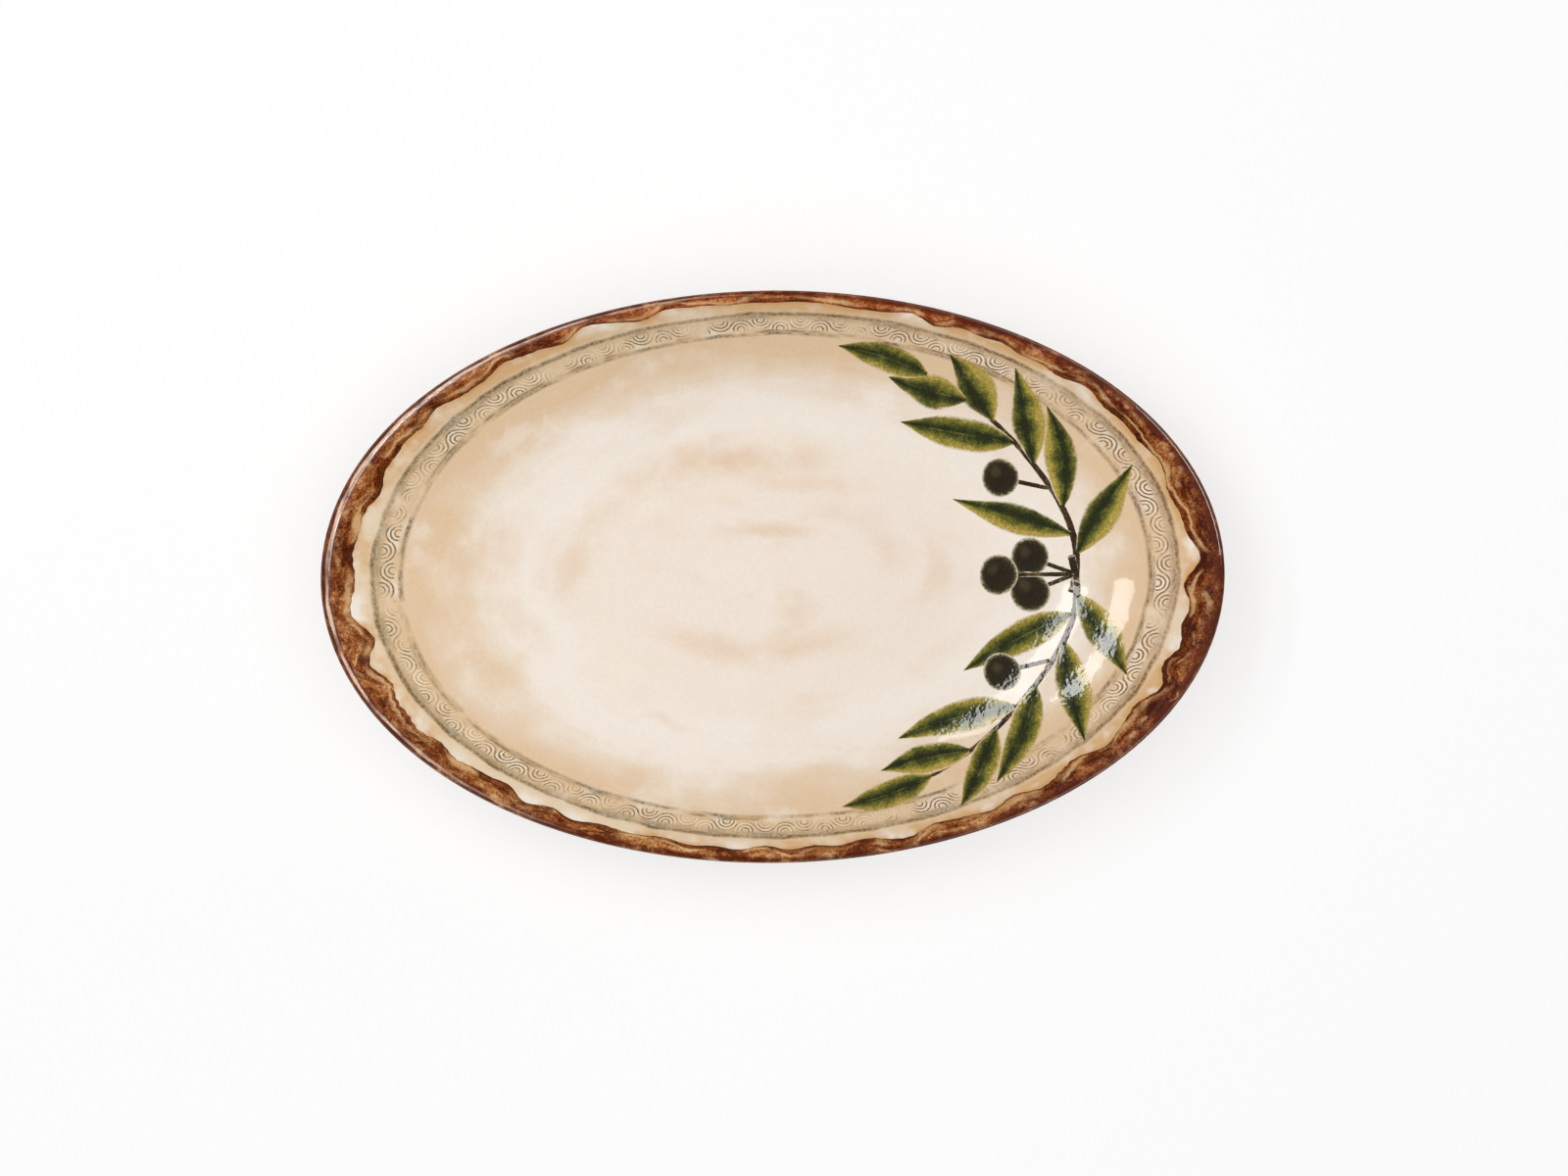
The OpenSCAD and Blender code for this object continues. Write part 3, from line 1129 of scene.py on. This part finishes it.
@dataclass
class FaceCoat:
    """Cream glaze over the floor and wall of the well; it runs on under the edge of the brown glaze."""

    oval: Oval
    rim: RimCoat
    columns: int = 480
    rows: int = 100
    crowding: float = 0.8
    under_rows: int = 14
    tuck: float = 1.2 * MM
    tuck_depth: float = 0.15 * MM
    # The border's outer and inner line: share of the oval at the sides, and how much less at the ends
    outer: tuple[float, float] = (0.910, 0.022)
    inner: tuple[float, float] = (0.844, 0.015)
    # The bell that moves both outwards: how far, how narrow it is and its angle
    moved: tuple[float, float, float] = (0.017, 1.6, 0.75)

    def build(self) -> bpy.types.Object:
        """Lays the coat as a closed shell, one glaze thick.

        Row k runs from the axis to the brown edge plus a tuck; the tuck sinks under the brown.

        Returns:
            The piece.
        """
        t = self.oval.angles(self.columns)
        edge = self.rim.face_edge(t)
        reach = edge + self.tuck
        run = np.linspace(0.0, 1.0, self.rows)[:, None] ** self.crowding * reach
        sink = self.tuck_depth * np.clip((run - edge) / self.tuck, 0.0, 1.0)
        under = np.linspace(1.0, 0.0, self.under_rows)[:, None] * reach
        layers = ((run, sink), (under, self.oval.section.glaze))
        chart = np.concatenate([self.chart(t, self.oval.line.at(*layer)[0]) for layer in layers])
        brown = np.concatenate([edge - run, edge - under])[:, :-1]
        hollow = np.broadcast_to(self.rim.hollow(t)[:-1], brown.shape)
        marks = {"from_brown": [brown], "hollow": [hollow]}
        return self.oval.shell("face_coat", t, layers, poles=True, charts={"chart": [chart]}, marks=marks)

    def from_brown(self, t: np.ndarray, y: np.ndarray) -> np.ndarray:
        """How far points on the face lie inside the edge of the brown glaze."""
        return self.rim.face_edge(t) - self.oval.line.run_on_face(y)

    def chart(self, t: np.ndarray, y: np.ndarray) -> np.ndarray:
        """Share of the way round, and place across the painted border: 0 at its outer line, 1 at its inner.

        The lines keep a more even distance from the lip than the oval's own share would: they lie
        nearer the centre at the ends than at the sides. Towards one quarter, a bell of the angle
        moves them outwards.

        Args:
            t: angles, by column.
            y: distances from the axis, rows by columns.

        Returns:
            The UV map.
        """
        far, narrow, middle = self.moved
        moved = far * np.exp(narrow * (np.cos(t - middle) - 1.0))
        outer, inner = (share - less * np.cos(t) ** 2 + moved for share, less in (self.outer, self.inner))
        across = (outer - y / self.oval.section.half_width) / (outer - inner)
        return np.stack(np.broadcast_arrays(self.oval.share(t), across), axis=-1)


@dataclass(frozen=True)
class Roll:
    """The low roll that dipped glaze draws up into: a bell of the distance from the edge, in widths."""

    high: float
    width: float
    peak: float = 0.35
    spread: float = 0.18

    def at(self, away: np.ndarray) -> np.ndarray:
        """Height of the roll at a distance from the edge."""
        return self.high * np.exp(-((away / self.width - self.peak) ** 2) / self.spread)


@dataclass
class BackCoat:
    """Buff glaze on the outside of the wall, tucked under the brown and rolled up where it meets the foot."""

    oval: Oval
    rim: RimCoat
    columns: int = 360
    rows: int = 64
    crowding: float = 1.6
    under_rows: int = 10
    tuck: float = 1.2 * MM
    tuck_depth: float = 0.15 * MM
    clear: float = 0.05 * MM
    roll: Roll = Roll(0.28 * MM, 2.2 * MM)

    def build(self) -> bpy.types.Object:
        """Lays the coat as a closed shell; near the foot it swells into a low roll, as glaze does.

        Returns:
            The piece.
        """
        line, section = self.oval.line, self.oval.section
        t = self.oval.angles(self.columns)
        edge = self.rim.back_edge(t)
        start = edge - self.tuck
        end = line.run_on_back(section.foot_out) - self.clear
        k = np.linspace(0.0, 1.0, self.rows)[:, None]
        run = start + (1.0 - (1.0 - k) ** self.crowding) * (end - start)
        sink = self.tuck_depth * np.clip((edge - run) / self.tuck, 0.0, 1.0)
        under = start + np.linspace(1.0, 0.0, self.under_rows)[:, None] * (end - start)
        return self.oval.shell("back_coat", t, ((run, sink - self.roll.at(end - run)), (under, section.glaze)))


@dataclass
class BaseCoat:
    """Buff glaze on the base, inside the foot ring."""

    oval: Oval
    columns: int = 240
    rows: int = 40
    crowding: float = 1.5
    under_rows: int = 10
    clear: float = 0.05 * MM
    roll: Roll = Roll(0.25 * MM, 2.0 * MM)

    def build(self) -> bpy.types.Object:
        """Lays the coat as a closed shell from the foot ring to the axis, with a low roll at the foot.

        Returns:
            The piece.
        """
        line, section = self.oval.line, self.oval.section
        start, end = float(line.run_on_back(section.foot_in)) + self.clear, float(line.run[-1])
        under = end - np.linspace(0.0, 1.0, self.under_rows)[:, None] * (end - start)
        run = start + np.linspace(0.0, 1.0, self.rows)[:, None] ** self.crowding * (end - start)
        layers = ((under, section.glaze), (run, -self.roll.at(run - start)))
        return self.oval.shell("base_coat", self.oval.angles(self.columns), layers, poles=True)


@dataclass
class ClayBody:
    """Pressed clay: the bowl under the glaze, and the bare foot ring."""

    oval: Oval
    columns: int = 360
    # Rows over the bowl, on the base, round each edge of the foot and along each of its sides
    rows: tuple[int, int, int, int] = (90, 24, 7, 6)
    # The foot's ripple: height, reach from the ring's middle, seed, numbers of waves and how many, and spacing
    foot_wave: float = 0.08 * MM
    foot_reach: float = 4 * MM
    foot_ripple: tuple[int, tuple[int, int], int] = (21, (20, 90), 14)
    foot_spacing: float = 3 * MM
    sharp: float = 35.0

    def build(self) -> bpy.types.Object:
        """Turns the clay's whole outline: the section one glaze in, with the foot ring let into its back.

        The foot's edges are quarter rounds. Its sides carry a slight ripple, as a wiped ring has.

        Returns:
            The piece.
        """
        line, s = self.oval.line, self.oval.section
        bowl_rows, base_rows, round_rows, side_rows = self.rows
        out_run, in_run = (float(line.run_on_back(foot)) for foot in (s.foot_out, s.foot_in))
        top = np.stack(line.at(np.linspace(0.0, out_run, bowl_rows), s.glaze), axis=1)
        rest = np.stack(line.at(np.linspace(in_run, line.run[-1], base_rows), s.glaze), axis=1)
        bend = np.linspace(0.0, math.pi / 2, round_rows)[:, None]
        r = s.foot_round
        outer = np.array([s.foot_out - r, r]) + r * np.concatenate([np.cos(bend), -np.sin(bend)], axis=1)
        inner = np.array([s.foot_in + r, r]) - r * np.concatenate([np.sin(bend), np.cos(bend)], axis=1)
        side = np.linspace(0.0, 1.0, side_rows)[1:-1, None]
        joins = ((top, outer), (outer, inner), (inner, rest))
        down, face, up = (a[-1:] + side * (b[:1] - a[-1:]) for a, b in joins)
        outline = np.concatenate([top, down, outer, face, inner, up, rest])
        t = self.oval.angles(self.columns)
        y, z = outline[:, :1], outline[:, 1:]
        off = (y - (s.foot_in + s.foot_out) / 2) / self.foot_reach
        ring = np.exp(-(off**2)) * (z < s.base_z + MM)
        wave = ripple(self.oval.share(t), *self.foot_ripple, z, self.foot_spacing)
        grid = self.oval.place(t, y + self.foot_wave * ring * wave, z)[:, :-1]
        return surface("clay_foot_and_bowl", [grid], poles=True, sharp=self.sharp)


@dataclass
class Film:
    """One painted stroke: its points, its own UV map, its points from above and its own shade, -1 to 1."""

    grid: np.ndarray
    stroke: np.ndarray
    plan: np.ndarray
    tone: float


@dataclass
class Garland:
    """Half wreath of bay leaves and round berries, painted round one end of the well."""

    # Points along a stem, a stalk and a leaf, over the top of a stroke, round a berry and out to its edge,
    # and the point of a stem where the halves cross
    STEM_POINTS, STALK_POINTS, LEAF_POINTS = 120, 12, 44
    OVER_POINTS, ROUND_POINTS, OUT_POINTS = 13, 49, 8
    CROSSING = 10

    face: FaceCoat
    seed: int = 5
    # Height of the first film above the glaze, the share of it that each further one adds, and the depth
    # of their undersides
    lift: float = 0.03 * MM
    lift_share: float = 0.12
    film: float = 0.2 * MM
    from_angle: float = -6.0
    to_angle: float = 64.0
    stem_half: float = 1.0 * MM
    stalk_half: float = 0.6 * MM
    leaf_long: float = 36 * MM
    leaf_half: float = 4.9 * MM
    leaf_stalk: float = 0.7 * MM
    leaf_tip: float = 0.02 * MM
    berry_half: float = 5.2 * MM
    # Place along the stem, turn away from it in degrees (plus towards the well) and share of the full length
    leaves: tuple[Vec3, ...] = (
        (0.17, -34.0, 0.74),
        (0.26, 60.0, 0.95),
        (0.37, -32.0, 0.80),
        (0.57, -30.0, 0.74),
        (0.67, 40.0, 0.90),
        (0.77, -28.0, 0.62),
        (0.87, 28.0, 0.66),
    )
    # Place along the stem, turn away from it and length of the stalk, for one berry of each half
    berries: tuple[Vec3, ...] = ((0.46, 44.0, 14 * MM),)
    # Turn away from the long axis and length of the stalk, for the berries where the halves cross
    cluster: tuple[tuple[float, float], ...] = ((-21.0, 13 * MM), (21.0, 13 * MM), (0.0, 20.5 * MM))
    films: dict[Motif, list[Film]] = field(default_factory=dict)

    def stem(self, side: float) -> np.ndarray:
        """Centreline of one half of the wreath, seen from above.

        It crosses its fellow at the end of the well and follows the oval, drawing nearer to the wall.

        Args:
            side: 1 for the +Y half, -1 for the other.

        Returns:
            Points, x and y.
        """
        k = np.linspace(0.0, 1.0, self.STEM_POINTS)
        t = np.radians(self.from_angle + k * (self.to_angle - self.from_angle))
        rho = 0.66 + 0.12 * k**1.3 + 0.014 * np.sin(6.0 * k + 1.0)
        s = self.face.oval.section
        return np.stack([rho * s.half_length * np.cos(t), side * rho * s.half_width * np.sin(t)], axis=-1)

    def lay(self, motif: Motif, plan: np.ndarray, under: np.ndarray, stroke: np.ndarray, tone: float) -> None:
        """Lays a stroke on the glaze as a thin closed film, each a hair above the one before.

        Args:
            motif: what it stands for.
            plan: its points from above, rows by columns by 2.
            under: which of them are on its underside.
            stroke: its UV map, with the first column again at the end.
            tone: its own shade.
        """
        count = sum(len(films) for films in self.films.values())
        top = self.face.oval.on_face(plan, self.lift * (1.0 + self.lift_share * count))
        low = self.face.oval.on_face(plan, -self.film)
        grid = np.where(under[..., None], low, top)
        self.films.setdefault(motif, []).append(Film(grid, stroke, plan, tone))

    def ribbon(self, middle: np.ndarray, half: np.ndarray, motif: Motif, tone: float) -> None:
        """Paints a stroke along a centreline.

        A cross-section's columns go over the top from one side to the other and back underneath.

        Args:
            middle: centreline from above.
            half: half width at each of its points.
            motif: what it stands for.
            tone: its own shade, -1 to 1.
        """
        way = np.gradient(middle, axis=0)
        way = way / np.linalg.norm(way, axis=1, keepdims=True)
        normal = np.stack([-way[:, 1], way[:, 0]], axis=1)
        over = np.linspace(1.0, -1.0, self.OVER_POINTS)
        across = np.concatenate([over, over[::-1][1:-1]])
        plan = middle[:, None] + normal[:, None] * (half[:, None] * across)[..., None]
        under = np.broadcast_to(np.arange(across.size) >= over.size, plan.shape[:2])
        u = np.linspace(0.0, 1.0, len(middle))[:, None]
        wrapped = np.concatenate([across, across[:1]])
        stroke = np.stack(np.broadcast_arrays(u, (wrapped + 1.0) / 2.0), axis=-1)
        self.lay(motif, plan, under, stroke, tone)

    def leaf(self, root: np.ndarray, heading: float, long: float, half: float, bend: float, tone: float) -> None:
        """Paints a leaf: widest below its middle, pointed at both ends, bent evenly along its length.

        Args:
            root: where it leaves the stem.
            heading: direction it sets out in.
            long: its length.
            half: its greatest half width.
            bend: how much it turns on the way.
            tone: its own shade, -1 to 1.
        """
        u = np.linspace(0.0, 1.0, self.LEAF_POINTS)
        a = heading + bend * u
        steps = np.stack([np.cos(a), np.sin(a)], axis=1) * long / (len(u) - 1)
        middle = root + np.concatenate([np.zeros((1, 2)), np.cumsum(steps[1:], axis=0)])
        blade = np.sin(math.pi * u**0.82) ** 1.1
        wavy = 1.0 + 0.06 * np.sin(9.0 * u + 3.0 * tone)
        width = np.maximum(half * blade * wavy, self.leaf_stalk * (1.0 - u))
        self.ribbon(middle, np.maximum(width, self.leaf_tip), Motif.LEAF, tone)

    def berry(self, centre: np.ndarray, half: float, tone: float) -> None:
        """Paints a berry: a thin disc, slightly out of round.

        Rows go from the middle of the top to the edge and back underneath; columns go round it.

        Args:
            centre: its middle from above.
            half: its radius.
            tone: its own shade, -1 to 1.
        """
        a = np.linspace(0.0, TURN, self.ROUND_POINTS)
        over = np.linspace(0.0, 1.0, self.OUT_POINTS)
        out = np.concatenate([over, [1.0, 0.5, 0.0]])[:, None]
        reach = half * out * (1.0 + 0.03 * np.cos(2 * a + 4.0 * tone) + 0.015 * np.cos(3 * a))
        plan = (centre + np.stack([reach * np.cos(a), reach * np.sin(a)], axis=-1))[:, :-1]
        under = np.broadcast_to(np.arange(out.size)[:, None] >= over.size, plan.shape[:2])
        stroke = np.stack([0.5 + 0.5 * out * np.cos(a), 0.5 + 0.5 * out * np.sin(a)], axis=-1)
        self.lay(Motif.BERRY, plan, under, stroke, tone)

    def sprig(self, root: np.ndarray, heading: float, long: float, draw: np.random.Generator) -> None:
        """Paints a berry on a stalk.

        Args:
            root: where the stalk leaves the stem.
            heading: the way it points.
            long: its length, to the middle of the berry.
            draw: the source of small differences.
        """
        tip = root + long * np.array([math.cos(heading), math.sin(heading)])
        k = np.linspace(0.0, 1.0, self.STALK_POINTS)[:, None]
        self.ribbon(root + k * (tip - root), np.full(len(k), self.stalk_half), Motif.STEM, 0.0)
        self.berry(tip, self.berry_half * draw.uniform(0.94, 1.04), draw.uniform(-1.0, 1.0))

    def half_wreath(self, side: float, draw: np.random.Generator) -> None:
        """Paints one half: the stem, leaves on both sides of it, one at its tip, and berries between them.

        Args:
            side: 1 for the +Y half, -1 for the other.
            draw: the source of small differences between the leaves.
        """
        path = self.stem(side)
        k = np.linspace(0.0, 1.0, len(path))
        way = np.gradient(path, axis=0)
        heading = np.unwrap(np.arctan2(way[:, 1], way[:, 0]))
        self.ribbon(path, self.stem_half * (1.05 - 0.5 * k), Motif.STEM, 0.0)
        for along, spread, long in self.leaves:
            at = int(along * (len(path) - 1))
            self.leaf(
                path[at],
                heading[at] + side * (math.radians(spread) + draw.normal(0.0, 0.05)),
                self.leaf_long * long * draw.uniform(0.94, 1.08),
                self.leaf_half * draw.uniform(0.80, 1.0),
                side * math.copysign(draw.uniform(-0.1, 0.5), -spread),
                draw.uniform(-1.0, 1.0),
            )
        for along, spread, long in self.berries:
            at = int(along * (len(path) - 1))
            self.sprig(path[at], heading[at] + side * math.radians(spread), long, draw)
        self.leaf(path[-2], heading[-1], 0.72 * self.leaf_long, 0.8 * self.leaf_half, side * 0.3, 0.2)

    def build(self) -> dict[Motif, bpy.types.Object]:
        """Paints both halves and gathers the strokes of each kind into one piece.

        Returns:
            The pieces.
        """
        draw = np.random.default_rng(self.seed)
        for side in (1.0, -1.0):
            self.half_wreath(side, draw)
        middle = np.array([self.stem(1.0)[self.CROSSING, 0], 0.0])
        for spread, long in self.cluster:
            self.sprig(middle, math.pi + math.radians(spread), long, draw)
        made = {}
        for motif, films in self.films.items():
            polars = [self.face.oval.polar(film.plan) for film in films]
            charts = [self.face.chart(t, y) for t, y in polars]
            made[motif] = surface(
                f"garland_{motif.value}",
                [film.grid for film in films],
                poles=True,
                charts={
                    "chart": [np.concatenate([chart, chart[:, :1]], axis=1) for chart in charts],
                    "stroke": [film.stroke for film in films],
                },
                marks={
                    "tone": [np.full(film.grid.shape[:2], film.tone) for film in films],
                    "from_brown": [self.face.from_brown(t, y) for t, y in polars],
                    "hollow": [self.face.rim.hollow(t) for t, _ in polars],
                },
            )
        return made


# --- studio ---


@dataclass(frozen=True)
class Softbox:
    """A studio light stretched between two points, facing the dish."""

    name: str
    start: Vec3
    end: Vec3
    width: float
    radiance: float
    mirrored: bool = True

    def build(self) -> None:
        """Hangs the light; its power is radiance times pi times area."""
        start, end = Vector(self.start), Vector(self.end)
        along, middle = end - start, (start + end) / 2
        lamp = bpy.data.lights.new(self.name, "AREA")
        lamp.shape = "RECTANGLE"
        lamp.size, lamp.size_y = self.width, along.length
        lamp.energy = self.radiance * math.pi * self.width * along.length
        obj = bpy.data.objects.new(self.name, lamp)
        bpy.context.scene.collection.objects.link(obj)
        up = along.normalized()
        back = (middle - up * middle.dot(up)).normalized()
        turn = Matrix((up.cross(back), up, back)).transposed()
        obj.matrix_world = Matrix.Translation(middle) @ turn.to_4x4()
        obj.visible_glossy = self.mirrored


@dataclass
class Studio:
    """White table, even surrounding light, softboxes at one side and a camera straight above."""

    image: tuple[int, int] = (1600, 1200)
    lens: float = 85.0
    sensor: float = 36.0
    metres_per_pixel: float = 0.26 * MM
    dish_at: tuple[float, float] = (788.5, 588.5)
    dish_turn: float = math.radians(0.53)
    lip_plane: float = 28.0 * MM
    table: float = 12.0
    table_drop: float = 0.05 * MM
    table_glow: float = 0.6
    ambient: float = 0.16
    boxes: tuple[Softbox, ...] = (
        Softbox("near_strip", (-0.42, 0.05, 1.0), (-0.30, 0.82, 1.0), 0.11, 7.5),
        Softbox("far_strip", (-0.71, 0.04, 1.0), (-0.62, 0.78, 1.0), 0.11, 10.0),
        Softbox("low_strip", (1.29, 0.1, 0.26), (0.93, 0.9, 0.11), 0.1, 11.0),
        Softbox("fill", (-0.85, -1.05, 1.5), (0.75, 0.55, 1.5), 1.6, 1.84, mirrored=False),
    )

    def camera(self) -> None:
        """Puts the camera where the dish has the photograph's size, place and turn in the frame."""
        lens = bpy.data.cameras.new("camera")
        lens.lens, lens.sensor_width = self.lens, self.sensor
        width = self.image[0] * self.metres_per_pixel
        off = (np.array(self.image) / 2 - np.array(self.dish_at)) * self.metres_per_pixel
        obj = bpy.data.objects.new("camera", lens)
        bpy.context.scene.collection.objects.link(obj)
        c, s = math.cos(-self.dish_turn), math.sin(-self.dish_turn)
        right, up = off[0], -off[1]
        far = self.lip_plane + width * self.lens / self.sensor
        obj.location = (c * right - s * up, s * right + c * up, far)
        obj.rotation_euler = (0.0, 0.0, -self.dish_turn)
        bpy.context.scene.camera = obj

    def floor(self) -> None:
        """Lays the table: matt white that shows nearly white to the camera and keeps the dish's shadow."""
        half, low = self.table / 2, -self.table_drop
        mesh = bpy.data.meshes.new("table")
        edge = [(-half, -half, low), (half, -half, low), (half, half, low), (-half, half, low)]
        mesh.from_pydata(edge, [], [(0, 1, 2, 3)])
        obj = bpy.data.objects.new("table", mesh)
        bpy.context.scene.collection.objects.link(obj)
        g = Graph("white_table")
        rays = g.add(LIGHT_PATH).node.outputs
        seen = g.add(MORE, [rays["Is Camera Ray"], rays["Is Glossy Ray"]])
        seen = g.add(MORE, [seen, rays["Is Transmission Ray"]])
        seen = g.add(TIMES, [seen, self.table_glow])
        lit, glow = g.add(DIFFUSE, ["f8f8f8"]), g.add(EMISSION, ["ffffff", 1.0])
        g.add(OUTPUT, [g.add(SHADER_MIX, [seen, lit, glow])])
        obj.data.materials.append(g.material)

    def light(self) -> None:
        """Sets the surrounding light and hangs the softboxes."""
        world = bpy.data.worlds.new("studio")
        world.use_nodes = True
        ground = world.node_tree.nodes["Background"]
        ground.inputs["Color"].default_value = (1.0, 1.0, 1.0, 1.0)
        ground.inputs["Strength"].default_value = self.ambient
        bpy.context.scene.world = world
        bpy.context.scene.view_settings.view_transform = "Standard"
        for box in self.boxes:
            box.build()


def main() -> None:
    """Builds the dish, its decoration and the studio."""
    logging.basicConfig(level=logging.INFO, format="%(name)s: %(message)s")
    oval = Oval(Section())
    rim = RimCoat(oval)
    face = FaceCoat(oval, rim)
    cream, buff = CreamGlaze(oval), BuffGlaze().material()
    dress(ClayBody(oval).build(), BareClay().material(), "clay_body")
    dress(face.build(), cream.material(), "face_glaze")
    dress(rim.build(), BrownGlaze(oval).material(), "rim_glaze")
    dress(BackCoat(oval, rim).build(), buff, "back_glaze")
    dress(BaseCoat(oval).build(), buff, "base_glaze")
    for motif, piece in Garland(face).build().items():
        dress(piece, Underglaze(motif, cream).material())
    studio = Studio()
    studio.camera()
    studio.floor()
    studio.light()


if __name__ == "__main__":
    main()
